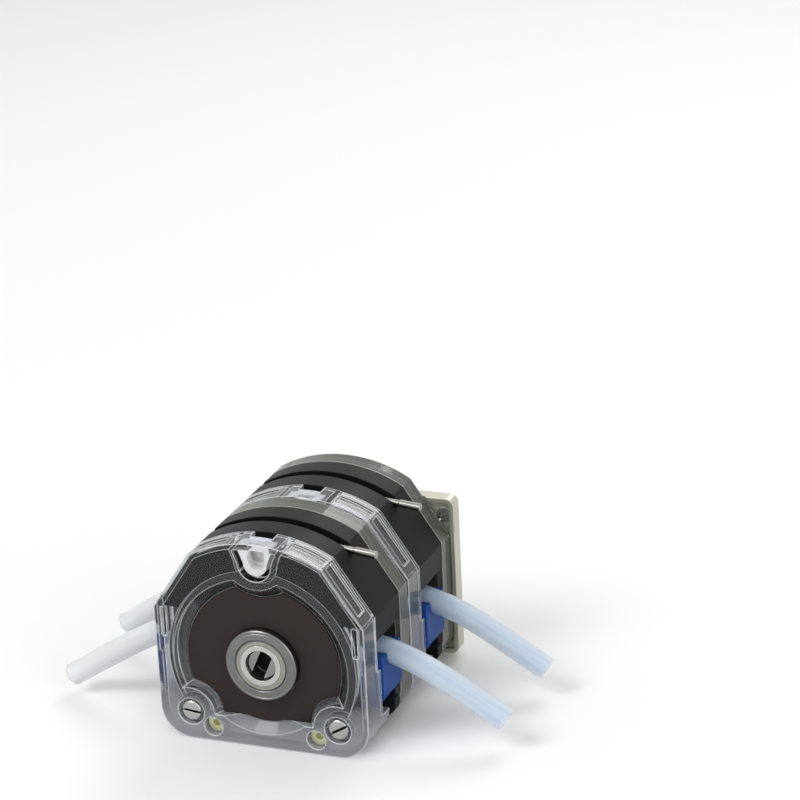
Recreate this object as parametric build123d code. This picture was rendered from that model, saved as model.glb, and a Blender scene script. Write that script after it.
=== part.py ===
from build123d import *
from math import atan2, cos, degrees, hypot, pi, radians, sin
import os

# Two ganged peristaltic pump heads on an adapter plate. Units: millimetres.
# The shaft axis runs along Y, the heads face -Y, +X is to the right and +Z is up.
# The origin is on the shaft axis, in the back face of the adapter plate.
# Inside one head, places along the shaft are depths behind that head's front face.

# Outline that the covers and the occlusion bed share, from the shaft axis
HALF_WIDTH = 51.5
SIDE_HEIGHT = 24.0
SHOULDER_HALF = 33.0
SHOULDER_HEIGHT = 51.3
CROWN_HEIGHT = 60.2
BASE_DROP = 41.0
BASE_CORNER_R = 15.0

# Depths of one head
HEAD_COUNT = 2
RIM_DEPTH = 15.0
BODY_DEPTH = 30.0
REAR_DEPTH = 10.0
PAD_HEIGHT = 2.0
PLATE_THICKNESS = 6.0

# Clearances
SLIDE_GAP = 0.3
RUN_GAP = 0.05
SEAT_GAP = 0.02
SCREW_GAP = 0.3

# Clear covers
COVER_WALL = 3.0
DISH_DEPTH = 5.0
DISH_FLARE = 5.0
DISH_SIDE_MARGIN = 8.5
DISH_FOOT_MARGIN = 6.6
FLANK_TOP = -3.3
FLANK_DEPTH = 3.2
SKIRT_TOP = -26.5
GROOVE_START = 4.0
GROOVE_WIDTH = 7.0
GROOVE_DEPTH = 1.2
GROOVE_INNER_X = 15.0
GROOVE_END_MARGIN = 1.0
CORNER_BLOCK = 6.0
NOTCH_HALF = 5.0
NOTCH_LEAN = 1.5
NOTCH_DEPTH = 6.0
LATCH_INSET = 4.4
LATCH_WIDTH = 2.3
LATCH_LENGTH = 14.2

# Front pocket of the cam shaft
POCKET_TOP_HALF = 12.0
POCKET_FOOT_R = 8.0
POCKET_FOOT_DROP = 10.2
POCKET_WALL = 2.4
SCALLOP_DROP = 6.4
SCALLOP_R = 16.0
SCALLOP_FLARE = 5.0
BUSHING_FRONT = 1.5
BUSHING_INSET = 2.2
BUSHING_WINDOW_HALF = 3.9
BUSHING_WINDOW_SHIFT = 0.8
BUSHING_WINDOW_DROP = 9.0
BUSHING_WINDOW_DEPTH = 4.5

# Cover screws, mounting bolts and their bosses
SCREW_BASE_MARGIN = 13.4
SCREW_R = 3.0
SCREW_HEAD_R = 4.85
SCREW_HEAD_HEIGHT = 4.0
SCREW_HEAD_CHAMFER = 0.5
SCREW_SEAT = 4.5
SCREW_SLOT_WIDTH = 1.3
SCREW_SLOT_DEPTH = 1.6
SCREW_BOSS_R = 12.0
SCREW_BOSS_FLARE = 2.5
SCREW_RECESS_R = 6.5
SCREW_POST_R = 7.5
SCREW_TIP_MARGIN = 5.0
SCREW_SLOT_TILT = {-1: -6.0, 1: 30.0}
BOLT_X = 25.6
BOLT_BASE_MARGIN = 7.1
BOLT_R = 2.5
BOLT_HEAD_R = 4.25
BOLT_HEAD_HEIGHT = 5.0
BOLT_HEAD_GAP = 0.35
BOLT_SEAT = 9.0
BOLT_POST_WALL = 4.0
BOLT_SOCKET_R = 2.0
BOLT_SOCKET_DEPTH = 2.5
BOLT_TIP_MARGIN = 1.0
UPPER_PAD_INSET = 6.0
UPPER_PAD_DROP = 4.3
UPPER_PAD_R = 4.0

# Shaft and bearings
SHAFT_R = 7.5
SHAFT_FRONT = 2.5
SHAFT_CHAMFER = 0.8
SHAFT_COLLAR_R = 9.5
SLOT_TILT = 24.0
SLOT_WIDTH = 6.3
SLOT_DEPTH = 7.2
TANG_GAP = 0.4
TANG_REACH = 7.5
FRONT_BEARING_R = 17.5
FRONT_BEARING_WIDTH = 11.0
FRONT_BEARING_START = 0.3
REAR_BEARING_R = 16.0
REAR_BEARING_WIDTH = 9.0
RACE_INNER_WALL = 2.4
RACE_SPACE = 2.8
BALL_R = 2.6
BALL_COUNT = 8
SEAL_THICKNESS = 0.8
SEAL_INSET = 0.4
HUB_WALL = 4.0
HUB_LIP = 1.0
HUB_LIP_BITE = 2.5
FACE_PLATE_THICKNESS = 1.0

# Rotor and tube track
TRACK_R = 33.0
TRACK_END_ANGLE = 30.0
PINCH_GAP = 4.3
ROLLER_COUNT = 3
ROLLER_R = 8.5
ROLLER_PIN_R = 3.0
ROLLER_START_ANGLE = 90.0
DISC_MARGIN = 3.2
DISC_THICKNESS = 3.0
DISC_GAP = 0.6
CHAMBER_MARGIN = 0.9

# Silicone tube: its size, and the points of its four free ends in X and Z
TUBE_BORE_R = 3.2
TUBE_WALL = 2.4
TUBE_FLAT_HALF = 8.2
LUMEN_PINCH = 0.1
TUBE_RIGHT_ROUTES = (
    [(40.0, 3.5), (54.0, 0.8), (69.0, -5.2), (89.0, -16.0), (107.0, -27.1)],
    [(40.0, 3.5), (54.0, 0.8), (70.0, -5.6), (89.0, -16.5), (107.5, -28.0)],
)
TUBE_LEFT_ROUTES = (
    [(-40.0, 3.5), (-54.0, 0.8), (-69.5, -6.0), (-91.2, -18.8), (-112.25, -32.56)],
    [(-40.0, 3.5), (-54.0, 0.8), (-69.5, -5.8), (-91.0, -18.2), (-111.5, -31.5)],
)

# Occlusion bed and its cam lever
BED_LIP_HEIGHT = 11.9
BED_MOUTH_DEPTH = 4.5
BED_LIFT = 10.0
CAM_AXIS_DROP = 7.4
CAM_SHAFT_R = 3.5
CAM_DISC_R = 6.0
CAM_LINEAR_ERROR = 1.06
CAM_WIDTH = 8.0
CAM_SLOT_GAP = 1.2
CAM_COLLAR_WALL = 3.5
LEVER_SLOT_WIDTH = 5.5
LEVER_TILT = 6.0
LEVER_R = 1.5
LEVER_GRIP_R = 1.9
LEVER_GRIP_LENGTH = 11.0
LEVER_LENGTH = 48.0
LEVER_BITE = 3.0
GUIDE_KEY_INSET = 3.0
GUIDE_KEY_WIDTH = 4.0
GUIDE_KEY_PROUD = 2.0
GUIDE_KEY_LENGTH = 9.6
GUIDE_KEY_HEADROOM = 1.2

# Lower block, tube retainers and their pull tabs
BLOCK_SIDE_MARGIN = 9.3
RETAINER_PROUD = 1.0
RETAINER_TOP = 2.2
RETAINER_BOTTOM = -22.0
RETAINER_CORNER_R = 5.0
RETAINER_TRAVEL = 4.0
FLANGE_INSET = 1.7
FLANGE_OVERHANG = 2.4
FLANGE_TOP = -4.0
TAB_INSET = 3.0
TAB_PROUD = 1.7
TAB_WIDTH = 6.0
TAB_DROP = 8.0
TAB_CORNER_R = 4.0

# Adapter plate
PLATE_SIDE_MARGIN = 2.5
PLATE_LEFT_INSET = 12.5
PLATE_TOP_MARGIN = 9.0
PLATE_BOTTOM_MARGIN = 5.8
PLATE_CORNER_R = 4.0
PLATE_BORDER = 2.2
PLATE_BORDER_HEIGHT = 1.5
PLATE_BORE_R = 16.0
STUD_INSET = 5.2
STUD_Z = 33.0
STUD_R = 2.0
STUD_SHOULDER_R = 2.3
STUD_HEAD_R = 3.9
STUD_REACH = 8.0
STUD_SLOT_WIDTH = 1.0
STUD_SLOT_DEPTH = 0.8

# Sizes that follow from the ones above
REAR_START = RIM_DEPTH + BODY_DEPTH
HEAD_DEPTH = REAR_START + REAR_DEPTH
MID_DEPTH = RIM_DEPTH + BODY_DEPTH / 2
HEAD_PITCH = HEAD_DEPTH + PAD_HEIGHT
STACK_DEPTH = PLATE_THICKNESS + HEAD_COUNT * HEAD_PITCH
REAR_WALL_FRONT = HEAD_DEPTH - COVER_WALL
DISH_R = HALF_WIDTH - DISH_SIDE_MARGIN
DISH_LOW_R = BASE_DROP - DISH_FOOT_MARGIN
DISH_BACK = DISH_DEPTH + COVER_WALL
GROOVE_END = GROOVE_START + GROOVE_WIDTH
LATCH_X = HALF_WIDTH - LATCH_INSET
LATCH_LOW = SIDE_HEIGHT - LATCH_LENGTH
POCKET_FOOT_HEIGHT = CROWN_HEIGHT - POCKET_FOOT_DROP
SCALLOP_HEIGHT = CROWN_HEIGHT - SCALLOP_DROP
SCREW_X = HALF_WIDTH - BASE_CORNER_R
SCREW_DROP = BASE_DROP - SCREW_BASE_MARGIN
SCREW_TIP = HEAD_DEPTH - SCREW_TIP_MARGIN
BOLT_DROP = BASE_DROP - BOLT_BASE_MARGIN
BOLT_RECESS_R = BOLT_HEAD_R + BOLT_HEAD_GAP
BOLT_POST_R = BOLT_R + BOLT_POST_WALL
FRONT_BEARING_END = FRONT_BEARING_START + FRONT_BEARING_WIDTH
REAR_BEARING_END = HEAD_DEPTH - SLIDE_GAP
REAR_BEARING_START = REAR_BEARING_END - REAR_BEARING_WIDTH
RACE_INNER_R = SHAFT_R + RACE_INNER_WALL
RACE_OUTER_R = RACE_INNER_R + RACE_SPACE
BALL_PITCH_R = (RACE_INNER_R + RACE_OUTER_R) / 2 + RUN_GAP
TUBE_R = TUBE_BORE_R + TUBE_WALL
TUBE_START, TUBE_LEAD = TUBE_RIGHT_ROUTES[0][:2]
TUBE_SLOPE = (TUBE_LEAD[1] - TUBE_START[1]) / (TUBE_LEAD[0] - TUBE_START[0])
ROLLER_REACH = TRACK_R - PINCH_GAP
PINCH_HALF = PINCH_GAP / 2 - SLIDE_GAP
PINCH_TRACK_R = TRACK_R - PINCH_GAP / 2
ROLLER_PITCH_R = ROLLER_REACH - ROLLER_R
DISC_START = RIM_DEPTH + DISC_GAP
REAR_DISC_START = 2 * MID_DEPTH - DISC_START - DISC_THICKNESS
ROLLER_START = DISC_START + DISC_THICKNESS + SLIDE_GAP
ROLLER_END = REAR_DISC_START - SLIDE_GAP
CHAMBER_R = ROLLER_REACH + CHAMBER_MARGIN
CAM_AXIS_HEIGHT = CROWN_HEIGHT - CAM_AXIS_DROP
CAM_ECCENTRICITY = BED_LIFT / 2
BED_START = RIM_DEPTH + SLIDE_GAP
BED_END = REAR_START - SLIDE_GAP
LEVER_SLOT_START = MID_DEPTH - LEVER_SLOT_WIDTH / 2
LEVER_SLOT_END = MID_DEPTH + LEVER_SLOT_WIDTH / 2
LEVER_SEAT = CAM_SHAFT_R - LEVER_BITE
LEVER_GRIP_START = LEVER_LENGTH - LEVER_GRIP_LENGTH
GUIDE_KEY_X = SHOULDER_HALF - GUIDE_KEY_INSET
GUIDE_KEY_HIGH = SHOULDER_HEIGHT - COVER_WALL - BED_LIFT - GUIDE_KEY_HEADROOM
GUIDE_KEY_LOW = GUIDE_KEY_HIGH - GUIDE_KEY_LENGTH
FLANK_REAR = RIM_DEPTH + FLANK_DEPTH
BLOCK_HALF = HALF_WIDTH - BLOCK_SIDE_MARGIN
RETAINER_INNER_X = BLOCK_HALF + SLIDE_GAP
RETAINER_OUTER_X = HALF_WIDTH + RETAINER_PROUD
RETAINER_START = FLANK_REAR + SLIDE_GAP
RETAINER_END = 2 * MID_DEPTH - RETAINER_START
FLANGE_OUTER_X = HALF_WIDTH - COVER_WALL - SLIDE_GAP
TAB_BOTTOM = RETAINER_BOTTOM - TAB_DROP
PLATE_RIGHT = HALF_WIDTH + PLATE_SIDE_MARGIN
PLATE_LEFT = PLATE_LEFT_INSET - HALF_WIDTH
PLATE_TOP = STUD_Z + PLATE_TOP_MARGIN
PLATE_BOTTOM = -STUD_Z - PLATE_BOTTOM_MARGIN
STUD_SIDES = (PLATE_LEFT + STUD_INSET, PLATE_RIGHT - STUD_INSET)


def slab(profile, start, end):
    """Sketch in X and Z, carried back along the shaft from one depth to another."""
    return extrude(Plane.XZ.offset(-start) * profile, amount=end - start, dir=(0, 1, 0))


def disc(x, z, radius):
    """Round sketch centred at x and z."""
    return Pos(x, z) * Circle(radius)


def block(low_x, high_x, low_z, high_z):
    """Rectangular sketch between two corners."""
    return Pos((low_x + high_x) / 2, (low_z + high_z) / 2) * Rectangle(high_x - low_x, high_z - low_z)


def ring(profile, centre_x=0.0, centre_z=0.0):
    """Sketch in radius and depth, turned about an axis along Y."""
    turned = revolve(Plane.XY * profile, axis=Axis.Y)
    return Pos(centre_x, 0, centre_z) * turned


def both_sides(shape):
    """Shape and its mirror image across the middle of the head."""
    return shape + mirror(shape, about=Plane.YZ)


def crown_arc():
    """Shallow crown between the two shoulders."""
    left, right = (-SHOULDER_HALF, SHOULDER_HEIGHT), (SHOULDER_HALF, SHOULDER_HEIGHT)
    return ThreePointArc(left, (0, CROWN_HEIGHT), right)


def head_outline(inset=0.0):
    """Flat base with round corners, upright sides, sloping shoulders and a shallow crown."""
    crown = crown_arc()
    rest = Polyline(
        (SHOULDER_HALF, SHOULDER_HEIGHT),
        (HALF_WIDTH, SIDE_HEIGHT),
        (HALF_WIDTH, -BASE_DROP),
        (-HALF_WIDTH, -BASE_DROP),
        (-HALF_WIDTH, SIDE_HEIGHT),
        (-SHOULDER_HALF, SHOULDER_HEIGHT),
    )
    face = make_face([crown, rest])
    face = fillet(face.vertices().sort_by(Axis.Y)[:2], BASE_CORNER_R)
    if inset:
        face = offset(face, amount=-inset, kind=Kind.INTERSECTION)
    return face


def below(level):
    """Wide sketch of everything under a level."""
    return block(-2 * HALF_WIDTH, 2 * HALF_WIDTH, level - 4 * HALF_WIDTH, level)


def dish_outline(inset=0.0):
    """Opening of the front dish: a large round with a smaller one across its foot."""
    upper = disc(0, 0, DISH_R - inset) - below(-SCREW_DROP)
    return upper + disc(0, 0, DISH_LOW_R - inset)


def u_shape(half_width, centre_z, top_z):
    """Half-round foot with upright sides up to a level."""
    return disc(0, centre_z, half_width) + block(-half_width, half_width, centre_z, top_z)


def pocket_outline(inset=0.0):
    """Pocket that narrows from the crown to a round foot."""
    top = POCKET_TOP_HALF - inset
    foot = POCKET_FOOT_R - inset
    sides = make_face(
        Polyline(
            (-top, CROWN_HEIGHT),
            (-foot, POCKET_FOOT_HEIGHT),
            (foot, POCKET_FOOT_HEIGHT),
            (top, CROWN_HEIGHT),
            (-top, CROWN_HEIGHT),
        )
    )
    return sides + disc(0, POCKET_FOOT_HEIGHT, foot)


def cone(x, z, front_r, flare, start, end):
    """Round boss that widens by flare from its front to its back."""
    low = Plane.XZ.offset(-start) * disc(x, z, front_r)
    high = Plane.XZ.offset(-end) * disc(x, z, front_r + flare)
    return loft([low, high])


def screw_points():
    """Places of the two cover screws, in the round base corners."""
    return [(side * SCREW_X, -SCREW_DROP) for side in (-1, 1)]


def bolt_points():
    """Places of the two long mounting bolts."""
    return [(side * BOLT_X, -BOLT_DROP) for side in (-1, 1)]


def rounds(points, radius, start, end):
    """Equal round bars or holes at several places."""
    bars = [slab(disc(x, z, radius), start, end) for x, z in points]
    return bars[0] + bars[1]


def tube_guide():
    """Centre line of the tube from the end of the pinched arc to its outlet, in X and Z."""
    angle = radians(TRACK_END_ANGLE)
    start = (PINCH_TRACK_R * cos(angle), PINCH_TRACK_R * sin(angle))
    rise = start[1] - TUBE_START[1] + TUBE_SLOPE * (TUBE_START[0] - start[0])
    reach = rise / (cos(angle) + TUBE_SLOPE * sin(angle))
    corner = (start[0] + reach * sin(angle), start[1] - reach * cos(angle))
    return Bezier(start, corner, TUBE_START)


def guide_half(share):
    """Half height of the tube at a share of the guide, from pinched to round."""
    return PINCH_HALF + (TUBE_R - PINCH_HALF) * share


def guide_edge(side, stations=(0.0, 0.34, 0.67, 1.0)):
    """Points clear of the tube by the sliding gap, above it for side 1 and below it for side -1."""
    guide = tube_guide()
    points = []
    for share in stations:
        place = guide @ share
        along = guide % share
        reach = side * (guide_half(share) + SLIDE_GAP)
        points.append((place.X - along.Y * reach, place.Y + along.X * reach))
    return points


def tube_guide_solid(half_of, across_of):
    """Tube carried along its guide, with its half height and half width at each share."""
    guide = tube_guide()
    sections = []
    for share in (0.0, 0.34, 0.67, 1.0):
        place = guide @ share
        along = guide % share
        plane = Plane(
            origin=(place.X, MID_DEPTH, place.Y),
            x_dir=(0, 1, 0),
            z_dir=(along.X, 0, along.Y),
        )
        sections.append(plane * Ellipse(across_of(share), half_of(share)))
    return loft(sections)


# ---------------------------------------------------------------- clear covers
def rim_grooves():
    """Shallow channels in the outside of the front rim, left and right of the crown and shoulders."""
    band = head_outline() - head_outline(GROOVE_DEPTH)
    crown_part = block(GROOVE_INNER_X, SHOULDER_HALF - GROOVE_END_MARGIN, 0, CROWN_HEIGHT)
    slope = (HALF_WIDTH - SHOULDER_HALF, SIDE_HEIGHT - SHOULDER_HEIGHT)
    length = hypot(*slope)
    middle = (SHOULDER_HALF + slope[0] / 2, SHOULDER_HEIGHT + slope[1] / 2)
    cut_length = length - CORNER_BLOCK - GROOVE_END_MARGIN
    shift = (GROOVE_END_MARGIN - CORNER_BLOCK) / 2 / length
    place = Pos(middle[0] + slope[0] * shift, middle[1] + slope[1] * shift)
    lean = Rot(0, 0, degrees(atan2(slope[1], slope[0])))
    shoulder_part = place * lean * Rectangle(cut_length, 6 * GROOVE_DEPTH)
    right = slab(band & crown_part, GROOVE_START, GROOVE_END)
    right += slab(band & shoulder_part, GROOVE_START, GROOVE_END)
    return both_sides(right)


def front_dish():
    """Dished recess with a flared wall, and the bosses that stand in it."""
    upper_cut = cone(0, 0, DISH_R, -DISH_FLARE, 0, DISH_DEPTH) - slab(below(-SCREW_DROP), 0, DISH_DEPTH)
    lower_cut = cone(0, 0, DISH_LOW_R, -DISH_FLARE, 0, DISH_DEPTH)
    cut = upper_cut + lower_cut
    for x, z in screw_points():
        cut -= cone(x, z, SCREW_BOSS_R, SCREW_BOSS_FLARE, 0, DISH_DEPTH)
    return cut - cone(0, SCALLOP_HEIGHT, SCALLOP_R, SCALLOP_FLARE, 0, DISH_DEPTH)


def floor_outline(gap=0.0):
    """Flat floor of the dish, inside the feet of its bosses."""
    floor = dish_outline(DISH_FLARE + gap)
    for x, z in screw_points():
        floor -= disc(x, z, SCREW_BOSS_R + SCREW_BOSS_FLARE + gap)
    return floor - disc(0, SCALLOP_HEIGHT, SCALLOP_R + SCALLOP_FLARE + gap)


def make_front_cover():
    shell = slab(head_outline(), 0, RIM_DEPTH)
    shell += slab(head_outline() & below(FLANK_TOP), RIM_DEPTH, FLANK_REAR)
    shell += slab(head_outline() & below(SKIRT_TOP), FLANK_REAR, MID_DEPTH)
    shell -= slab(head_outline(COVER_WALL), COVER_WALL, MID_DEPTH)
    shell += slab(disc(0, 0, DISH_R + COVER_WALL) & head_outline(COVER_WALL / 2), COVER_WALL, DISH_BACK)
    shell += slab(disc(0, 0, FRONT_BEARING_R + HUB_WALL), DISH_BACK, FRONT_BEARING_END + HUB_LIP)
    shell += rounds(screw_points(), SCREW_POST_R, COVER_WALL, RIM_DEPTH) & slab(head_outline(), 0, MID_DEPTH)
    shell += rounds(bolt_points(), BOLT_POST_R, COVER_WALL, RIM_DEPTH)
    pocket_wall = pocket_outline(-POCKET_WALL) & head_outline(COVER_WALL / 2)
    shell += slab(pocket_wall, COVER_WALL, RIM_DEPTH)
    shell -= front_dish()
    shell -= slab(pocket_outline() & head_outline(COVER_WALL), 0, RIM_DEPTH)
    shell -= slab(disc(0, 0, FRONT_BEARING_R + SEAT_GAP), 0, FRONT_BEARING_END)
    shell -= slab(disc(0, 0, FRONT_BEARING_R - HUB_LIP_BITE), 0, RIM_DEPTH)
    shell -= rounds(screw_points(), SCREW_RECESS_R, 0, SCREW_SEAT)
    shell -= rounds(screw_points(), SCREW_R + SCREW_GAP, 0, RIM_DEPTH)
    shell -= rounds(bolt_points(), BOLT_RECESS_R, 0, BOLT_SEAT)
    shell -= rounds(bolt_points(), BOLT_R + SCREW_GAP, 0, RIM_DEPTH)
    latch = block(LATCH_X - LATCH_WIDTH / 2, LATCH_X + LATCH_WIDTH / 2, LATCH_LOW, SIDE_HEIGHT)
    shell -= both_sides(slab(latch, 0, COVER_WALL))
    shell -= rim_grooves()
    notch = make_face(
        Polyline(
            (-NOTCH_HALF, CROWN_HEIGHT + 1),
            (-NOTCH_HALF, CROWN_HEIGHT - COVER_WALL - 1),
            (NOTCH_HALF, CROWN_HEIGHT - COVER_WALL - 1),
            (NOTCH_HALF + NOTCH_LEAN, CROWN_HEIGHT + 1),
            (-NOTCH_HALF, CROWN_HEIGHT + 1),
        )
    )
    shell -= slab(notch, RIM_DEPTH - NOTCH_DEPTH, RIM_DEPTH)
    return shell - tab_slots()


def tab_slots():
    """Openings in the skirts for the pull tabs and their travel."""
    low = TAB_BOTTOM - RETAINER_TRAVEL - SLIDE_GAP
    opening = block(BLOCK_HALF, 2 * HALF_WIDTH, low, SKIRT_TOP + 1)
    half = TAB_WIDTH / 2 + SLIDE_GAP
    return both_sides(slab(opening, MID_DEPTH - half, MID_DEPTH + half))


def make_face_plate():
    plate = floor_outline(SLIDE_GAP) - disc(0, 0, FRONT_BEARING_R + SLIDE_GAP)
    return slab(plate, DISH_DEPTH - FACE_PLATE_THICKNESS, DISH_DEPTH)


def make_rear_cover():
    shell = slab(head_outline(), REAR_START, HEAD_DEPTH)
    shell += slab(head_outline() & below(FLANK_TOP), REAR_START - FLANK_DEPTH, REAR_START)
    shell += slab(head_outline() & below(SKIRT_TOP), MID_DEPTH, REAR_START)
    shell -= slab(head_outline(COVER_WALL), MID_DEPTH, REAR_WALL_FRONT)
    shell += slab(disc(0, 0, REAR_BEARING_R + HUB_WALL), REAR_BEARING_START - HUB_LIP, REAR_WALL_FRONT)
    posts = rounds(screw_points(), SCREW_POST_R, REAR_START, REAR_WALL_FRONT)
    shell += posts & slab(head_outline(), 0, HEAD_DEPTH)
    shell += rounds(bolt_points(), BOLT_POST_R, REAR_START, HEAD_PITCH)
    pad = disc(SHOULDER_HALF - UPPER_PAD_INSET, SHOULDER_HEIGHT - UPPER_PAD_DROP, UPPER_PAD_R)
    shell += both_sides(slab(pad, HEAD_DEPTH, HEAD_PITCH))
    shell -= slab(disc(0, 0, REAR_BEARING_R + SEAT_GAP), REAR_BEARING_START, HEAD_DEPTH)
    shell -= slab(disc(0, 0, REAR_BEARING_R - HUB_LIP_BITE), MID_DEPTH, HEAD_DEPTH)
    shell -= rounds(screw_points(), SCREW_R + SEAT_GAP, MID_DEPTH, SCREW_TIP + 1)
    shell -= rounds(bolt_points(), BOLT_R + SCREW_GAP, MID_DEPTH, HEAD_PITCH)
    return shell - tab_slots()


# ---------------------------------------------------------------- fixed black frames
def frame_outline():
    """Arch between the dish and the crown, clear of the cover walls."""
    arch = head_outline(COVER_WALL + SLIDE_GAP / 2) - below(SIDE_HEIGHT)
    return arch - disc(0, 0, DISH_R + COVER_WALL + SLIDE_GAP)


def bulkhead_outline():
    """Closing wall behind the dish, round the bearing hub and clear of the screw and bolt posts."""
    limits = head_outline(COVER_WALL + SLIDE_GAP / 2)
    outline = (limits - below(SIDE_HEIGHT)) + (dish_outline(-COVER_WALL) & limits)
    outline -= disc(0, 0, FRONT_BEARING_R + HUB_WALL + SLIDE_GAP)
    for x, z in screw_points():
        outline -= disc(x, z, SCREW_POST_R + SLIDE_GAP)
    for x, z in bolt_points():
        outline -= disc(x, z, BOLT_POST_R + SLIDE_GAP)
    return outline


def key_groove():
    """Upright groove, open at the top, that a guide key of the bed slides in."""
    half = GUIDE_KEY_WIDTH / 2 + SLIDE_GAP
    return block(GUIDE_KEY_X - half, GUIDE_KEY_X + half, GUIDE_KEY_LOW - SLIDE_GAP, CROWN_HEIGHT)


def make_front_frame():
    start = COVER_WALL
    end = RIM_DEPTH - SLIDE_GAP / 2
    frame = slab(frame_outline(), start, end)
    frame += slab(bulkhead_outline(), DISH_BACK + SLIDE_GAP, end)
    frame -= slab(pocket_outline(-POCKET_WALL - SLIDE_GAP), start, end)
    frame -= both_sides(slab(key_groove(), BED_START - GUIDE_KEY_PROUD - SLIDE_GAP, end))
    carrier = pocket_outline(SEAT_GAP) & head_outline(COVER_WALL + SEAT_GAP)
    carrier -= disc(0, CAM_AXIS_HEIGHT, CAM_SHAFT_R + SLIDE_GAP)
    frame += slab(carrier, RIM_DEPTH - NOTCH_DEPTH, end)
    half = LATCH_WIDTH / 2 - SEAT_GAP
    leg = block(LATCH_X - half, LATCH_X + half, LATCH_LOW + SEAT_GAP, SIDE_HEIGHT)
    leg &= head_outline(COVER_WALL + SLIDE_GAP / 2)
    return frame + both_sides(slab(leg, start, start + COVER_WALL))


def make_rear_frame():
    start = REAR_START + SLIDE_GAP / 2
    groove_end = BED_END + GUIDE_KEY_PROUD + SLIDE_GAP
    frame = slab(frame_outline() - both_sides(key_groove()), start, groove_end)
    frame += slab(frame_outline(), groove_end, REAR_WALL_FRONT)
    collar = disc(0, CAM_AXIS_HEIGHT, CAM_SHAFT_R + CAM_COLLAR_WALL)
    frame += slab(collar & head_outline(COVER_WALL + SLIDE_GAP / 2), start, REAR_WALL_FRONT)
    return frame - slab(disc(0, CAM_AXIS_HEIGHT, CAM_SHAFT_R + RUN_GAP), start, REAR_WALL_FRONT)


def make_cam_bushing():
    outline = pocket_outline(BUSHING_INSET) & head_outline(COVER_WALL + SEAT_GAP)
    bushing = slab(outline, BUSHING_FRONT, RIM_DEPTH - NOTCH_DEPTH)
    window_foot = CROWN_HEIGHT - BUSHING_WINDOW_DROP
    window = Pos(BUSHING_WINDOW_SHIFT, 0) * u_shape(BUSHING_WINDOW_HALF, window_foot, CROWN_HEIGHT)
    bushing -= slab(window, BUSHING_FRONT, BUSHING_FRONT + BUSHING_WINDOW_DEPTH)
    return bushing - slab(disc(0, CAM_AXIS_HEIGHT, CAM_SHAFT_R + RUN_GAP), BUSHING_FRONT, RIM_DEPTH)


# ---------------------------------------------------------------- occlusion bed and cam lever
def bed_outline():
    """Full crown and shoulders outside, pinching arc and tube outlets inside."""
    edge = guide_edge(1)
    mouth_x = HALF_WIDTH - BED_MOUTH_DEPTH
    mouth = (mouth_x, edge[-1][1] + TUBE_SLOPE * (mouth_x - edge[-1][0]))
    outlet = Spline(*edge)
    arch = ThreePointArc(edge[0], (0, TRACK_R), (-edge[0][0], edge[0][1]))
    right = Polyline(
        edge[-1],
        mouth,
        (HALF_WIDTH, BED_LIP_HEIGHT),
        (HALF_WIDTH, SIDE_HEIGHT),
        (SHOULDER_HALF, SHOULDER_HEIGHT),
    )
    return make_face(
        [crown_arc(), right, outlet, arch, mirror(outlet, about=Plane.YZ), mirror(right, about=Plane.YZ)]
    )


def lever_clearance():
    """Region of the bed that the lever passes through, closed on the right and open on the left."""
    drop = LEVER_GRIP_R + SLIDE_GAP
    hub_half = CAM_SHAFT_R + SLIDE_GAP
    reach = 2 * HALF_WIDTH
    fall = reach * sin(radians(LEVER_TILT)) / cos(radians(LEVER_TILT))
    open_axis = CAM_AXIS_HEIGHT - BED_LIFT
    return make_face(
        Polyline(
            (-reach, 2 * CROWN_HEIGHT),
            (-reach, open_axis + fall - drop),
            (-hub_half, open_axis - drop),
            (hub_half, open_axis - drop),
            (hub_half, CAM_AXIS_HEIGHT - drop - CAM_LINEAR_ERROR),
            (reach, CAM_AXIS_HEIGHT - fall - drop),
            (reach, 2 * CROWN_HEIGHT),
            (-reach, 2 * CROWN_HEIGHT),
        )
    )


def cam_starts():
    """Front of each of the two cam discs, one on each side of the lever slot."""
    return [LEVER_SLOT_START - CAM_SLOT_GAP - CAM_WIDTH, LEVER_SLOT_END + CAM_SLOT_GAP]


def make_occlusion_bed():
    bed = slab(bed_outline(), BED_START, BED_END)
    bed -= slab(lever_clearance(), LEVER_SLOT_START, LEVER_SLOT_END)
    half = CAM_SHAFT_R + SLIDE_GAP
    open_axis = CAM_AXIS_HEIGHT - BED_LIFT
    shaft_slot = disc(0, CAM_AXIS_HEIGHT, half) + disc(0, open_axis, half)
    shaft_slot += block(-half, half, open_axis, CAM_AXIS_HEIGHT)
    bed -= slab(shaft_slot, BED_START, BED_END)
    cam_half_height = CAM_DISC_R + CAM_LINEAR_ERROR + SLIDE_GAP / 2
    cam_half_width = CAM_DISC_R + CAM_ECCENTRICITY + SLIDE_GAP
    cam_centre = CAM_AXIS_HEIGHT - CAM_ECCENTRICITY
    window = block(
        -cam_half_width, cam_half_width, cam_centre - cam_half_height, cam_centre + cam_half_height
    )
    for start in cam_starts():
        bed -= slab(window, start - SLIDE_GAP, start + CAM_WIDTH + SLIDE_GAP)
    half_key = GUIDE_KEY_WIDTH / 2
    key = block(GUIDE_KEY_X - half_key, GUIDE_KEY_X + half_key, GUIDE_KEY_LOW, GUIDE_KEY_HIGH)
    keys = slab(key, BED_START - GUIDE_KEY_PROUD, BED_START) + slab(key, BED_END, BED_END + GUIDE_KEY_PROUD)
    return bed + both_sides(keys)


def lever_axis_plane(distance):
    """Plane across the lever at a distance from the cam axis."""
    tilt = radians(LEVER_TILT)
    place = (distance * cos(tilt), MID_DEPTH, CAM_AXIS_HEIGHT - distance * sin(tilt))
    return Plane(origin=place, x_dir=(0, 1, 0), z_dir=(cos(tilt), 0, -sin(tilt)))


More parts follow.
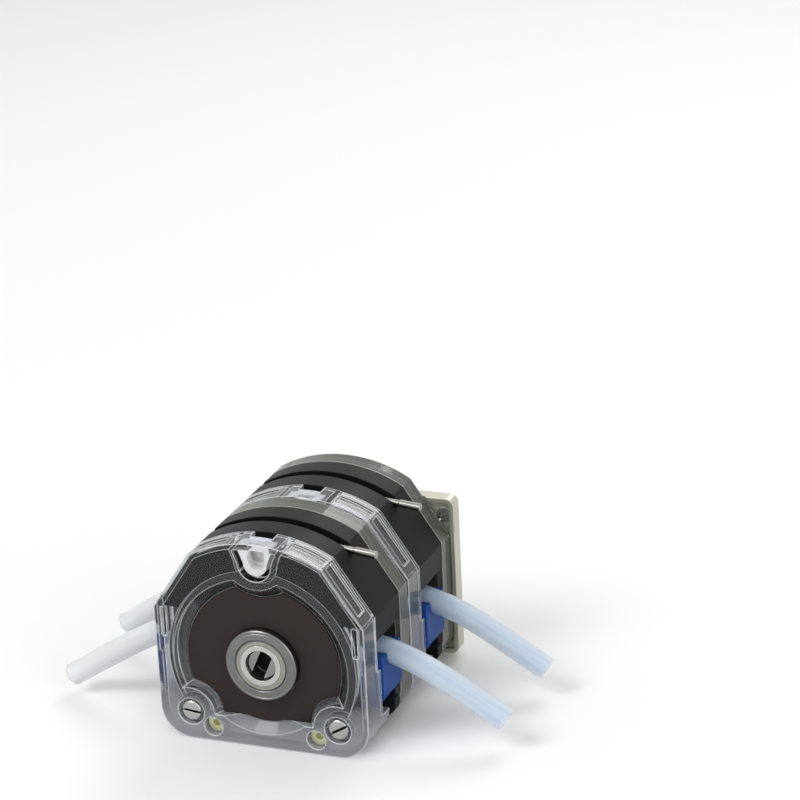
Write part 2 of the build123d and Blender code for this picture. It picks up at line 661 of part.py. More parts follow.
def make_cam_shaft():
    front = BUSHING_FRONT + BUSHING_WINDOW_DEPTH + SLIDE_GAP
    shaft = slab(disc(0, CAM_AXIS_HEIGHT, CAM_SHAFT_R), front, REAR_WALL_FRONT - SLIDE_GAP)
    for start in cam_starts():
        lobe = disc(0, CAM_AXIS_HEIGHT - CAM_ECCENTRICITY, CAM_DISC_R)
        shaft += slab(lobe, start, start + CAM_WIDTH)
    socket = lever_axis_plane(LEVER_SEAT) * Circle(LEVER_R + SEAT_GAP)
    return shaft - extrude(socket, amount=2 * LEVER_BITE)


def make_lever_rod():
    """Slim rod with a thicker grip at its free end."""
    rod = extrude(lever_axis_plane(LEVER_SEAT) * Circle(LEVER_R), amount=LEVER_GRIP_START - LEVER_SEAT)
    grip = extrude(lever_axis_plane(LEVER_GRIP_START) * Circle(LEVER_GRIP_R), amount=LEVER_GRIP_LENGTH)
    return rod + chamfer(grip.edges().filter_by(GeomType.CIRCLE), LEVER_GRIP_R / 4)


# ---------------------------------------------------------------- shaft, bearings and rotor
def slot_bar(width, length):
    """Bar sketch across the shaft, at the drive slot's tilt."""
    return Rot(0, 0, -SLOT_TILT) * Rectangle(width, length)


def make_rotor_shaft():
    rear = REAR_BEARING_END
    shaft = slab(disc(0, 0, SHAFT_R), SHAFT_FRONT, rear)
    shaft = chamfer(shaft.edges().group_by(Axis.Y)[0], SHAFT_CHAMFER)
    shaft += slab(disc(0, 0, SHAFT_COLLAR_R), FRONT_BEARING_END, DISC_START)
    shaft += slab(disc(0, 0, SHAFT_COLLAR_R), REAR_DISC_START + DISC_THICKNESS, REAR_BEARING_START)
    shaft -= slab(slot_bar(SLOT_WIDTH, 4 * SHAFT_R), SHAFT_FRONT, SHAFT_FRONT + SLOT_DEPTH)
    tang_end = HEAD_PITCH + TANG_REACH
    tang = slot_bar(SLOT_WIDTH - TANG_GAP, 4 * SHAFT_R) & disc(0, 0, SHAFT_R - TANG_GAP)
    return shaft + slab(tang, rear, tang_end)


def ball_groove(start, width):
    """Round groove that the balls run in, and its middle depth."""
    middle = start + width / 2
    return Pos(BALL_PITCH_R, middle) * Circle(BALL_R + RUN_GAP), middle


def bearing_outer(outer_r, start, width):
    """Outer race, which stays in its cover."""
    groove, middle = ball_groove(start, width)
    race = Pos((RACE_OUTER_R + outer_r) / 2, middle) * Rectangle(outer_r - RACE_OUTER_R, width)
    return ring(race - groove)


def bearing_inner(start, width):
    """Inner race, which turns with the shaft."""
    groove, middle = ball_groove(start, width)
    bore = SHAFT_R + SEAT_GAP
    race = Pos((bore + RACE_INNER_R) / 2, middle) * Rectangle(RACE_INNER_R - bore, width)
    return ring(race - groove)


def bearing_seals(start, width):
    """Two flat seals, set in from the faces of the bearing."""
    seal = disc(0, 0, RACE_OUTER_R - SEAT_GAP) - disc(0, 0, RACE_INNER_R + RUN_GAP)
    fronts = (start + SEAL_INSET, start + width - SEAL_INSET - SEAL_THICKNESS)
    return [slab(seal, front, front + SEAL_THICKNESS) for front in fronts]


def bearing_balls(start, width):
    """Balls between the races, evenly spaced."""
    angles = [2 * pi * index / BALL_COUNT for index in range(BALL_COUNT)]
    middle = start + width / 2
    return [
        Pos(BALL_PITCH_R * cos(angle), middle, BALL_PITCH_R * sin(angle)) * Sphere(BALL_R)
        for angle in angles
    ]


def roller_angles():
    """Angle of each roller about the shaft, one at the top."""
    return [radians(ROLLER_START_ANGLE + 360 * index / ROLLER_COUNT) for index in range(ROLLER_COUNT)]


def roller_points():
    """Place of each roller in X and Z."""
    return [(ROLLER_PITCH_R * cos(angle), ROLLER_PITCH_R * sin(angle)) for angle in roller_angles()]


def make_rotor_disc(start):
    outline = disc(0, 0, ROLLER_REACH - DISC_MARGIN) - disc(0, 0, SHAFT_R + SEAT_GAP)
    for x, z in roller_points():
        outline -= disc(x, z, ROLLER_PIN_R + SEAT_GAP)
    return slab(outline, start, start + DISC_THICKNESS)


def make_roller(place):
    return slab(disc(*place, ROLLER_R) - disc(*place, ROLLER_PIN_R + RUN_GAP), ROLLER_START, ROLLER_END)


def make_roller_pin(place):
    return slab(disc(*place, ROLLER_PIN_R), DISC_START, REAR_DISC_START + DISC_THICKNESS)


# ---------------------------------------------------------------- lower block and retainers
def make_lower_block():
    limits = head_outline(COVER_WALL + SLIDE_GAP)
    outline = limits & (block(-BLOCK_HALF, BLOCK_HALF, -2 * BASE_DROP, TUBE_START[1]) + below(SKIRT_TOP))
    outline -= disc(0, 0, CHAMBER_R)
    edge = guide_edge(-1)
    far = 2 * HALF_WIDTH
    around = Polyline(
        edge[-1],
        (far, edge[-1][1] + TUBE_SLOPE * (far - edge[-1][0])),
        (far, far),
        (0, far),
        (0, edge[0][1]),
        edge[0],
    )
    bite = make_face([Spline(*edge), around])
    outline -= bite + mirror(bite, about=Plane.YZ)
    body = slab(outline, RIM_DEPTH + SLIDE_GAP, REAR_START - SLIDE_GAP)
    body -= rounds(screw_points(), SCREW_R + SCREW_GAP, RIM_DEPTH, REAR_START)
    body -= rounds(bolt_points(), BOLT_R + SCREW_GAP, RIM_DEPTH, REAR_START)
    tab_room = block(BLOCK_HALF, far, TAB_BOTTOM - RETAINER_TRAVEL - SLIDE_GAP, 0)
    half = TAB_WIDTH / 2 + SLIDE_GAP
    return body - both_sides(slab(tab_room, MID_DEPTH - half, MID_DEPTH + half))


def tube_path(route):
    """Straight runs joined by arcs, each as large as its two runs allow."""
    points = [(x, MID_DEPTH, z) for x, z in route]
    radii = []
    for before, corner, after in zip(route, route[1:], route[2:]):
        first = Vector(corner[0] - before[0], corner[1] - before[1])
        second = Vector(after[0] - corner[0], after[1] - corner[1])
        half_turn = radians(first.get_angle(second)) / 2
        radii.append(0.45 * min(first.length, second.length) * cos(half_turn) / sin(half_turn))
    return FilletPolyline(*points, radius=radii), radii


def tube_start_plane(route):
    """Plane across the start of a tube route."""
    run = (route[1][0] - route[0][0], route[1][1] - route[0][1])
    return Plane(origin=(route[0][0], MID_DEPTH, route[0][1]), x_dir=(0, 1, 0), z_dir=(run[0], 0, run[1]))


def make_free_tube(route):
    path, radii = tube_path(route)
    section = tube_start_plane(route) * (Circle(TUBE_R) - Circle(TUBE_BORE_R))
    tube = sweep(section, path=path)
    ideal = pi * (TUBE_R**2 - TUBE_BORE_R**2) * path.length
    print("tube radii", [round(radius, 1) for radius in radii], "length", round(path.length, 2))
    print("tube volume over section times length", round(tube.volume / ideal, 4))
    return tube


def make_inner_tube():
    """Pinched arc over the rollers, opening to a round tube at each outlet."""
    angle = radians(TRACK_END_ANGLE)
    start = (PINCH_TRACK_R * cos(angle), PINCH_TRACK_R * sin(angle))
    plane = Plane(
        origin=(start[0], MID_DEPTH, start[1]), x_dir=(0, 1, 0), z_dir=(sin(angle), 0, -cos(angle))
    )
    section = plane * Ellipse(TUBE_FLAT_HALF, PINCH_HALF)
    arc = revolve(section, axis=Axis.Y, revolution_arc=-(180 - 2 * TRACK_END_ANGLE))
    lumen_flat = TUBE_FLAT_HALF - TUBE_WALL
    outlet = tube_guide_solid(guide_half, lambda share: TUBE_FLAT_HALF + (TUBE_R - TUBE_FLAT_HALF) * share)
    lumen = tube_guide_solid(
        lambda share: LUMEN_PINCH + (TUBE_BORE_R - LUMEN_PINCH) * share,
        lambda share: lumen_flat + (TUBE_BORE_R - lumen_flat) * share,
    )
    return arc + both_sides(outlet - lumen)


def make_retainer(route):
    """Right-hand retainer, grooved for a tube route that runs to the right."""
    side = block(RETAINER_INNER_X, RETAINER_OUTER_X, RETAINER_BOTTOM, RETAINER_TOP)
    outer_foot = side.vertices().sort_by(Axis.Y)[:2].sort_by(Axis.X)[-1]
    body = slab(fillet(outer_foot, RETAINER_CORNER_R), RETAINER_START, RETAINER_END)
    flange = block(RETAINER_INNER_X + FLANGE_INSET, FLANGE_OUTER_X, RETAINER_BOTTOM, FLANGE_TOP)
    body += slab(flange, RETAINER_START - FLANGE_OVERHANG, RETAINER_END + FLANGE_OVERHANG)
    path, _ = tube_path(route)
    return body - sweep(tube_start_plane(route) * Circle(TUBE_R + SLIDE_GAP), path=path)


def make_tab():
    """Pull tab under the retainer, standing out through the skirts."""
    outline = block(RETAINER_INNER_X + TAB_INSET, RETAINER_OUTER_X + TAB_PROUD, TAB_BOTTOM, RETAINER_BOTTOM)
    outline = fillet(outline.vertices().sort_by(Axis.Y)[:2], TAB_CORNER_R)
    return slab(outline, MID_DEPTH - TAB_WIDTH / 2, MID_DEPTH + TAB_WIDTH / 2)


# ---------------------------------------------------------------- fasteners and plate
def make_cover_screw(side):
    x, z = side * SCREW_X, -SCREW_DROP
    screw = slab(disc(x, z, SCREW_HEAD_R), SCREW_SEAT - SCREW_HEAD_HEIGHT, SCREW_SEAT)
    screw = chamfer(screw.edges().group_by(Axis.Y)[0], SCREW_HEAD_CHAMFER)
    screw += slab(disc(x, z, SCREW_R), SCREW_SEAT, SCREW_TIP)
    top = SCREW_SEAT - SCREW_HEAD_HEIGHT
    slot = Pos(x, z) * Rot(0, 0, SCREW_SLOT_TILT[side]) * Rectangle(4 * SCREW_HEAD_R, SCREW_SLOT_WIDTH)
    return screw - slab(slot, top, top + SCREW_SLOT_DEPTH)


def make_mounting_bolt(side):
    x, z = side * BOLT_X, -BOLT_DROP
    top = BOLT_SEAT - BOLT_HEAD_HEIGHT
    bolt = slab(disc(x, z, BOLT_HEAD_R), top, BOLT_SEAT)
    bolt += slab(disc(x, z, BOLT_R), BOLT_SEAT, STACK_DEPTH - BOLT_TIP_MARGIN)
    socket = Pos(x, z) * RegularPolygon(BOLT_SOCKET_R, 6)
    return bolt - slab(socket, top, top + BOLT_SOCKET_DEPTH)


def stud_points():
    """Places of the four plate screws."""
    return [(x, z) for x in STUD_SIDES for z in (-STUD_Z, STUD_Z)]


def stud_head(x, z, front_r):
    """Countersunk head at the front of the plate."""
    return cone(x, z, front_r, STUD_R - STUD_HEAD_R, -PLATE_THICKNESS, STUD_R - PLATE_THICKNESS)


def make_plate():
    outline = block(PLATE_LEFT, PLATE_RIGHT, PLATE_BOTTOM, PLATE_TOP)
    outline = fillet(outline.vertices(), PLATE_CORNER_R)
    plate = slab(outline, -PLATE_THICKNESS, 0)
    border = outline - offset(outline, amount=-PLATE_BORDER) - head_outline(-SLIDE_GAP)
    plate += slab(border, -PLATE_THICKNESS - PLATE_BORDER_HEIGHT, -PLATE_THICKNESS)
    plate -= slab(disc(0, 0, PLATE_BORE_R), -PLATE_THICKNESS, 0)
    plate -= rounds(bolt_points(), BOLT_R + SEAT_GAP, -PLATE_THICKNESS, 0)
    for x, z in stud_points():
        plate -= slab(disc(x, z, STUD_SHOULDER_R + SEAT_GAP), -PLATE_THICKNESS, 0)
        plate -= stud_head(x, z, STUD_HEAD_R + SEAT_GAP)
    return plate


def make_plate_screw(x, z):
    """Slotted screw with a plain shoulder in the plate and a thread behind it."""
    screw = stud_head(x, z, STUD_HEAD_R) + slab(disc(x, z, STUD_SHOULDER_R), -PLATE_THICKNESS, 0)
    screw += slab(disc(x, z, STUD_R), 0, STUD_REACH)
    slot = Pos(x, z) * Rot(0, 0, 45) * Rectangle(4 * STUD_HEAD_R, STUD_SLOT_WIDTH)
    return screw - slab(slot, -PLATE_THICKNESS, STUD_SLOT_DEPTH - PLATE_THICKNESS)


def save(name, shape):
    """Write one node, as a group of separate solids where it is a list."""
    if isinstance(shape, (list, tuple)):
        solids = [solid for item in shape for solid in item.solids()]
        shape = Compound(children=solids) if len(solids) > 1 else solids[0]
    export_step(shape, f"parts/{name}.step")


def head_nodes(head):
    """Every node of one head, in the head's own depths."""
    left_route_mirrored = [(-x, z) for x, z in TUBE_LEFT_ROUTES[head]]
    nodes = {
        "front_cover": make_front_cover(),
        "face_plate": make_face_plate(),
        "rear_cover": make_rear_cover(),
        "front_frame": make_front_frame(),
        "rear_frame": make_rear_frame(),
        "cam_bushing": make_cam_bushing(),
        "occlusion_bed": make_occlusion_bed(),
        "cam_shaft": make_cam_shaft(),
        "lever_rod": make_lever_rod(),
        "rotor_shaft": make_rotor_shaft(),
        "rotor_discs": [make_rotor_disc(DISC_START), make_rotor_disc(REAR_DISC_START)],
        "roller_pins": [make_roller_pin(place) for place in roller_points()],
        "bearing_outers": [
            bearing_outer(FRONT_BEARING_R, FRONT_BEARING_START, FRONT_BEARING_WIDTH),
            bearing_outer(REAR_BEARING_R, REAR_BEARING_START, REAR_BEARING_WIDTH),
        ],
        "bearing_inners": [
            bearing_inner(FRONT_BEARING_START, FRONT_BEARING_WIDTH),
            bearing_inner(REAR_BEARING_START, REAR_BEARING_WIDTH),
        ],
        "bearing_seals": [
            *bearing_seals(FRONT_BEARING_START, FRONT_BEARING_WIDTH),
            *bearing_seals(REAR_BEARING_START, REAR_BEARING_WIDTH),
        ],
        "bearing_balls": [
            *bearing_balls(FRONT_BEARING_START, FRONT_BEARING_WIDTH),
            *bearing_balls(REAR_BEARING_START, REAR_BEARING_WIDTH),
        ],
        "lower_block": make_lower_block(),
        "retainer_right": make_retainer(TUBE_RIGHT_ROUTES[head]),
        "retainer_left": mirror(make_retainer(left_route_mirrored), about=Plane.YZ),
        "tab_right": make_tab(),
        "tab_left": mirror(make_tab(), about=Plane.YZ),
        "cover_screws": [make_cover_screw(side) for side in (-1, 1)],
        "tube_inner": make_inner_tube(),
        "tube_right": make_free_tube(TUBE_RIGHT_ROUTES[head]),
        "tube_left": make_free_tube(TUBE_LEFT_ROUTES[head]),
    }
    for index, place in enumerate(roller_points()):
        nodes[f"roller_{'abc'[index]}"] = make_roller(place)
    return nodes


os.makedirs("parts", exist_ok=True)
for head in range(HEAD_COUNT):
    front_face = -STACK_DEPTH + head * HEAD_PITCH
    for name, shape in head_nodes(head).items():
        shapes = shape if isinstance(shape, list) else [shape]
        save(f"{name}_{head + 1}", [Pos(0, front_face, 0) * item for item in shapes])

save("mounting_plate", [make_plate()])
save("plate_screws", [make_plate_screw(x, z) for x, z in stud_points()])
save("mounting_bolts", [Pos(0, -STACK_DEPTH, 0) * make_mounting_bolt(side) for side in (-1, 1)])
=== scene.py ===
from math import cos, radians, sin

import bpy
import numpy as np
from mathutils import Matrix, Vector


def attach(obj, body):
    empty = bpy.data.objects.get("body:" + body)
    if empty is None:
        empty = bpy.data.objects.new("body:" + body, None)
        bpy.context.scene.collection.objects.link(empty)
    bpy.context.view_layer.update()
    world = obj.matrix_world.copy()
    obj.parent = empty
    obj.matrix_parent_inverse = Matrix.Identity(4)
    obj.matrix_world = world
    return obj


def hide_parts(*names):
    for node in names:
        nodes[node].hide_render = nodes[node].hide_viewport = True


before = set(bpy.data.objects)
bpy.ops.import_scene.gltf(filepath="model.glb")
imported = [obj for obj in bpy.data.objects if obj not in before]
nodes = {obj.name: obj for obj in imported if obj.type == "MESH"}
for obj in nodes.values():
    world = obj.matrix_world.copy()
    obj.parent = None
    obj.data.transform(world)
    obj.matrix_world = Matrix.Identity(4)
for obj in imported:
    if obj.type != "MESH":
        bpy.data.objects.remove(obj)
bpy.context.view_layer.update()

# ---------------------------------------------------------------- adapter plate
# A flat steel plate carries the stack. It has a raised border on the front and a fine coat, and
# a big hole in its middle lets the drive reach the rear shaft.


class Wire:
    """An output of a shader node. Arithmetic and comparisons on wires and numbers add Math nodes."""

    def __init__(self, tree, output=None):
        self.tree = tree
        self.output = output

    def node(self, kind, settings=None, sockets=None, out=0):
        """Adds one node: its settings first, then the values or wires of its sockets."""
        node = self.tree.nodes.new(kind)
        for name, value in (settings or {}).items():
            if name == "stops":
                ramp = node.color_ramp.elements
                while len(ramp) < len(value):
                    ramp.new(0.5)
                for stop, (place, colour) in zip(ramp, value):
                    stop.position = place
                    stop.color = (*colour, 1)
            else:
                setattr(node, name, value)
        for name, value in (sockets or {}).items():
            if isinstance(value, Wire):
                self.tree.links.new(value.output, node.inputs[name])
            else:
                node.inputs[name].default_value = value
        return Wire(self.tree, node.outputs[out] if node.outputs else None)

    def maths(self, operation, *values):
        return self.node("ShaderNodeMath", {"operation": operation}, dict(enumerate(values)))

    def at_most(self, limit):
        return self.maths("MINIMUM", self, limit)

    def held(self):
        """Held between 0 and 1."""
        return self.node("ShaderNodeClamp", sockets={"Value": self})

    def sine(self):
        return self.maths("SINE", self)

    def __add__(self, other):
        return self.maths("ADD", self, other)

    def __radd__(self, other):
        return self.maths("ADD", other, self)

    def __sub__(self, other):
        return self.maths("SUBTRACT", self, other)

    def __rsub__(self, other):
        return self.maths("SUBTRACT", other, self)

    def __mul__(self, other):
        return self.maths("MULTIPLY", self, other)

    def __rmul__(self, other):
        return self.maths("MULTIPLY", other, self)

    def __pow__(self, other):
        return self.maths("POWER", self, other)

    def __gt__(self, other):
        return self.maths("GREATER_THAN", self, other)

    def __lt__(self, other):
        return self.maths("LESS_THAN", self, other)


class Finish:
    """A material in the making: its place on the piece, its softened edges, and what it is put on."""

    def __init__(self, name):
        self.material = bpy.data.materials.new(name)
        self.material.use_nodes = True
        self.tree = self.material.node_tree
        self.tree.nodes.clear()
        self.start = Wire(self.tree)
        self.place = self.start.node("ShaderNodeTexCoord", out="Object")

    def noise(self, scale, detail=3.0, stretch=(1, 1, 1)):
        """Cloudy values from 0 to 1, with features of about 1/scale metres, drawn out by stretch."""
        place = self.start.node("ShaderNodeMapping", sockets={"Vector": self.place, "Scale": stretch})
        return self.start.node(
            "ShaderNodeTexNoise", sockets={"Vector": place, "Scale": scale, "Detail": detail}, out="Fac"
        )

    def blend(self, share, low, high):
        """One colour turning into another as share goes from 0 to 1."""
        low, high = [value if isinstance(value, Wire) else (*value, 1) for value in (low, high)]
        return self.start.node(
            "ShaderNodeMix",
            {"data_type": "RGBA", "clamp_factor": True},
            {"Factor": share, 6: low, 7: high},
            out=2,
        )

    def rounded(self, radius):
        """Normal of the surface with its edges rounded by radius metres."""
        return self.start.node("ShaderNodeBevel", {"samples": 6}, {"Radius": radius}, out="Normal")

    def edge(self, radius):
        """0 on flat faces, rising towards 1 within radius metres of a sharp edge; it places painted edge
        highlights.
        """
        flat = self.start.node("ShaderNodeNewGeometry", out="Normal")
        turn = self.start.node(
            "ShaderNodeVectorMath",
            {"operation": "DOT_PRODUCT"},
            {0: self.rounded(radius), 1: flat},
            out="Value",
        )
        return ((1 - turn) * 3.0).at_most(1.0)

    def bumped(self, height, depth, normal=None):
        """Normal with a relief of this depth in metres, on top of another normal."""
        sockets = {"Height": height, "Strength": 1.0, "Distance": depth}
        if normal is not None:
            sockets["Normal"] = normal
        return self.start.node("ShaderNodeBump", sockets=sockets, out="Normal")

    def put(self, shader, *pieces):
        """Ends the material with a shader and puts it on the pieces."""
        self.start.node("ShaderNodeOutputMaterial", sockets={"Surface": shader})
        for piece in pieces:
            piece.data.materials.clear()
            piece.data.materials.append(self.material)
            for polygon_slot in piece.material_slots:
                polygon_slot.material = self.material

    def gloss(self, **sockets):
        """A Principled shader with these sockets, named with underscores for spaces."""
        named = {name.replace("_", " "): value for name, value in sockets.items()}
        for name in ("Base Color", "Emission Color"):
            if name in named and not isinstance(named[name], Wire):
                named[name] = (*named[name], 1)
        return self.start.node("ShaderNodeBsdfPrincipled", sockets=named)


plate = Finish("plate_coat")
rolled = plate.noise(900, 4, (0.06, 1, 1))
patches = plate.noise(45)
shade = plate.blend(patches, (0.44, 0.43, 0.35), (0.60, 0.59, 0.50))
# Painted highlight: the plate's edges are lightened to a pale steel.
shade = plate.blend(plate.edge(0.0006), shade, (0.62, 0.61, 0.56))
plate.put(
    plate.gloss(
        Base_Color=shade,
        Metallic=0.75,
        Roughness=0.34 + rolled * 0.16,
        Normal=plate.bumped(rolled, 0.00003, plate.rounded(0.0006)),
    ),
    nodes["mounting_plate"],
)

# ---------------------------------------------------------------- plate screws
# Four slotted countersunk screws, turned from steel, hold the plate to its drive. Their heads
# carry fine rings from the lathe.


def turned_steel(name, centres, tone, pitch=0.0006, reach_limit=0.0, slot_from=0.0, slot_to=0.0):
    """Turned steel with faint rings around the nearest of several centres in X and Z, and a painted
    highlight that lightens its edges. Inside reach_limit of a centre, what lies between slot_from and
    slot_to in Y is painted near black, dull and not metallic, as shade inside a slot."""
    steel = Finish(name)
    split = [
        steel.start.node("ShaderNodeSeparateXYZ", sockets={"Vector": steel.place}, out=axis)
        for axis in ("X", "Y", "Z")
    ]
    distances = [((split[0] - x) ** 2.0 + (split[2] - z) ** 2.0) ** 0.5 for x, z in centres]
    reach = distances[0]
    for other in distances[1:]:
        reach = reach.at_most(other)
    full_turn = 6.2832
    rings = (reach * (full_turn / pitch)).sine()
    smudge = steel.noise(160)
    colour = steel.blend(smudge, tone, tuple(value * 1.3 for value in tone))
    # Painted highlight: edges are lightened towards a pale steel.
    colour = steel.blend(steel.edge(0.0004), colour, (0.86, 0.87, 0.86))
    # Painted shade: inside a slot the steel is made near black, dull and not metallic.
    slot_shade = (reach < reach_limit) * (split[1] > slot_from) * (split[1] < slot_to)
    shader = steel.gloss(
        Base_Color=steel.blend(slot_shade, colour, (0.008, 0.008, 0.007)),
        Metallic=1.0 - slot_shade,
        Roughness=0.24 + smudge * 0.16 + slot_shade * 0.4,
        Specular_IOR_Level=0.2,
        Normal=steel.bumped(rings, 0.000012, steel.rounded(0.0003)),
    )
    return steel, shader


stud_places = [(x, z) for x in (-0.0338, 0.0488) for z in (-0.033, 0.033)]
steel, shader = turned_steel("plate_screw_steel", stud_places, (0.40, 0.40, 0.37))
steel.put(shader, nodes["plate_screws"])

# ---------------------------------------------------------------- rear covers
# A clear moulded cover closes each head at the back. Its wall is 3 mm thick, its pads bear on the plate or
# on the next head, and it is tinted olive, with a painted highlight on its edges.


def clear_plastic(name, tint, smoke, shares, edge_highlight_tone, edge_highlight_share, *pieces):
    """Clear moulded plastic: tinted in its depth, smoky by the first share at the shaft's height and by the
    second at its foot, with a painted highlight that makes its edges bright."""
    clear = Finish(name)
    ripple = clear.noise(60, 1.0)
    drift = clear.noise(34, 2.0)
    height = clear.start.node("ShaderNodeSeparateXYZ", sockets={"Vector": clear.place}, out="Z")
    low = (height * -60.0 - 0.9).held()
    relief = clear.bumped(ripple, 0.00012, clear.rounded(0.0007))
    body = clear.gloss(
        Base_Color=tint,
        Roughness=0.03,
        IOR=1.42,
        Specular_IOR_Level=0.15,
        Transmission_Weight=1.0,
        Normal=relief,
    )
    cast = clear.gloss(
        Base_Color=clear.blend(drift, smoke, tuple(value * 1.35 for value in smoke)),
        Roughness=0.22 + drift * 0.06,
        Specular_IOR_Level=0.15,
        Normal=relief,
    )
    share = shares[0] + low * (shares[1] - shares[0])
    smoky = clear.start.node("ShaderNodeMixShader", sockets={0: share, 1: body, 2: cast})
    # Painted highlight: near the edges a pale, opaque gloss is mixed in.
    lit = clear.gloss(Base_Color=edge_highlight_tone, Roughness=0.18, Specular_IOR_Level=0.3, Normal=relief)
    bright = (clear.edge(0.0011) * 1.6).at_most(1.0) * edge_highlight_share
    solid = clear.start.node("ShaderNodeMixShader", sockets={0: bright, 1: smoky, 2: lit})
    through = clear.start.node("ShaderNodeBsdfTransparent", sockets={"Color": (0.80, 0.81, 0.82, 1)})
    shadow = clear.start.node("ShaderNodeLightPath", out="Is Shadow Ray")
    clear.put(clear.start.node("ShaderNodeMixShader", sockets={0: shadow, 1: solid, 2: through}), *pieces)


clear_plastic(
    "clear_rear",
    (0.56, 0.57, 0.50),
    (0.105, 0.110, 0.094),
    (0.50, 0.58),
    (0.74, 0.75, 0.69),
    0.7,
    nodes["rear_cover_1"],
    nodes["rear_cover_2"],
)

# ---------------------------------------------------------------- black mouldings
# Two fixed frames and the lower block fill each head between its covers. They are moulded in black plastic
# with a fine spark-eroded grain, and a painted highlight makes their edges a little greyer.


def black_moulding(name, pieces, tone=(0.0042, 0.0048, 0.0046), rough=0.44):
    """Black plastic with a fine grain and rounded edges, which a painted highlight makes slightly greyer."""
    black = Finish(name)
    grain = black.noise(2600, 2.0)
    cloud = black.noise(38)
    colour = black.blend(cloud, tone, tuple(value * 1.6 for value in tone))
    # Painted highlight: edges are lightened towards grey.
    colour = black.blend(black.edge(0.0008) * 0.4, colour, (0.035, 0.036, 0.035))
    black.put(
        black.gloss(
            Base_Color=colour,
            Roughness=rough + cloud * 0.12,
            Specular_IOR_Level=0.10,
            Normal=black.bumped(grain, 0.000005, black.rounded(0.0006)),
        ),
        *[nodes[piece] for piece in pieces],
    )


black_moulding(
    "frame_black",
    [f"{part}_{head}" for head in (1, 2) for part in ("front_frame", "rear_frame", "lower_block")],
)

# ---------------------------------------------------------------- ball bearings
# Each shaft runs in a 15 by 35 by 11 mm bearing in front and a 15 by 32 by 9 mm one behind. The
# races are ground with broken edges and a thin turned line, and cream seals close them. Depths are
# in metres: each head's middle, and half of a head.
mid_depths = (-0.090, -0.033)
half_depth = 0.030


def grid_piece(name, grid, smooth=True):
    """A mesh from a grid of points that closes on itself both ways. Its faces are turned round if
    the volume they enclose, a sum of corner products, comes out negative."""
    rows, columns = grid.shape[:2]
    index = np.arange(rows * columns).reshape(rows, columns)
    faces = np.stack(
        [index, np.roll(index, -1, 0), np.roll(np.roll(index, -1, 0), -1, 1), np.roll(index, -1, 1)], axis=-1
    ).reshape(-1, 4)
    points = grid.reshape(-1, 3)
    corners = points[faces] - points.mean(axis=0)
    products = np.einsum("ij,ij->i", corners[:, 0], np.cross(corners[:, 1], corners[:, 2]))
    products += np.einsum("ij,ij->i", corners[:, 0], np.cross(corners[:, 2], corners[:, 3]))
    if products.sum() < 0:
        faces = faces[:, ::-1]
    mesh = bpy.data.meshes.new(name)
    mesh.from_pydata(points.tolist(), [], faces.tolist())
    mesh.polygons.foreach_set("use_smooth", [smooth] * len(mesh.polygons))
    mesh.update()
    piece = bpy.data.objects.new(name, mesh)
    bpy.context.scene.collection.objects.link(piece)
    return piece


def lathed(name, profile, front, direction=1, around=120):
    """A ring turned about the shaft axis. Each profile point is a radius and a depth in
    millimetres, and becomes radius times cos(turn) in X and radius times sin(turn) in Z."""
    radius, depth = np.array(profile).T / 1000
    turn = np.linspace(0, 2 * np.pi, around, endpoint=False)
    grid = np.stack(
        [
            radius[:, None] * np.cos(turn),
            np.repeat((front + direction * depth)[:, None], around, axis=1),
            radius[:, None] * np.sin(turn),
        ],
        axis=-1,
    )
    piece = grid_piece(name, grid)
    edges = piece.modifiers.new("edges", "BEVEL")
    edges.width = 0.00012
    edges.segments = 2
    edges.limit_method = "ANGLE"
    edges.angle_limit = radians(28)
    piece.modifiers.new("flats", "WEIGHTED_NORMAL")
    return piece


def race_profile(outside, width):
    """Outer race in section: broken edges, a turned line in each face, and the ball groove."""
    inner, groove, line = 12.71, 14.6, outside - 1.9
    middle = width / 2
    front = [(inner, 0.35), (inner + 0.3, 0.0), (line, 0.0), (line + 0.15, 0.22), (line + 0.5, 0.22)]
    front += [(line + 0.65, 0.0), (outside - 0.55, 0.0), (outside, 0.55)]
    back = [(radius, width - depth) for radius, depth in reversed(front)]
    return front + back + [(inner, middle + 1.9), (groove, middle), (inner, middle - 1.9)]


def seal_profile():
    """Seal in section: a raised lip at the inner race and a shallow dish out to the outer race."""
    return [
        (9.96, 0.30), (10.3, 0.18), (10.9, 0.18), (11.1, 0.42), (11.9, 0.42), (12.1, 0.25),
        (12.5, 0.25), (12.67, 0.45), (12.67, 1.2), (9.96, 1.2),
    ]


bearings = [(0.3, 17.48, 11.0), (45.7, 15.98, 9.0)]
races, seals = [], []
for head, middle in enumerate(mid_depths, 1):
    face = middle - half_depth
    for end, (start, outside, width) in zip(("front", "rear"), bearings):
        near = face + start / 1000
        far = near + width / 1000
        race = lathed(f"race_{end}_{head}", race_profile(outside, width), near)
        pair = [
            lathed(f"seal_{end}_out_{head}", seal_profile(), near),
            lathed(f"seal_{end}_in_{head}", seal_profile(), far, -1),
        ]
        rings = [(race, "race_steel", races)] + [(seal, "seal_cream", seals) for seal in pair]
        for piece, slot_name, kept in rings:
            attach(piece, "housing")
            kept.append(piece)
    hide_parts(f"bearing_outers_{head}")
    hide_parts(f"bearing_seals_{head}")
steel, shader = turned_steel("outer_race_steel", [(0, 0)], (0.17, 0.17, 0.165), pitch=0.0011)
steel.put(shader, *races)

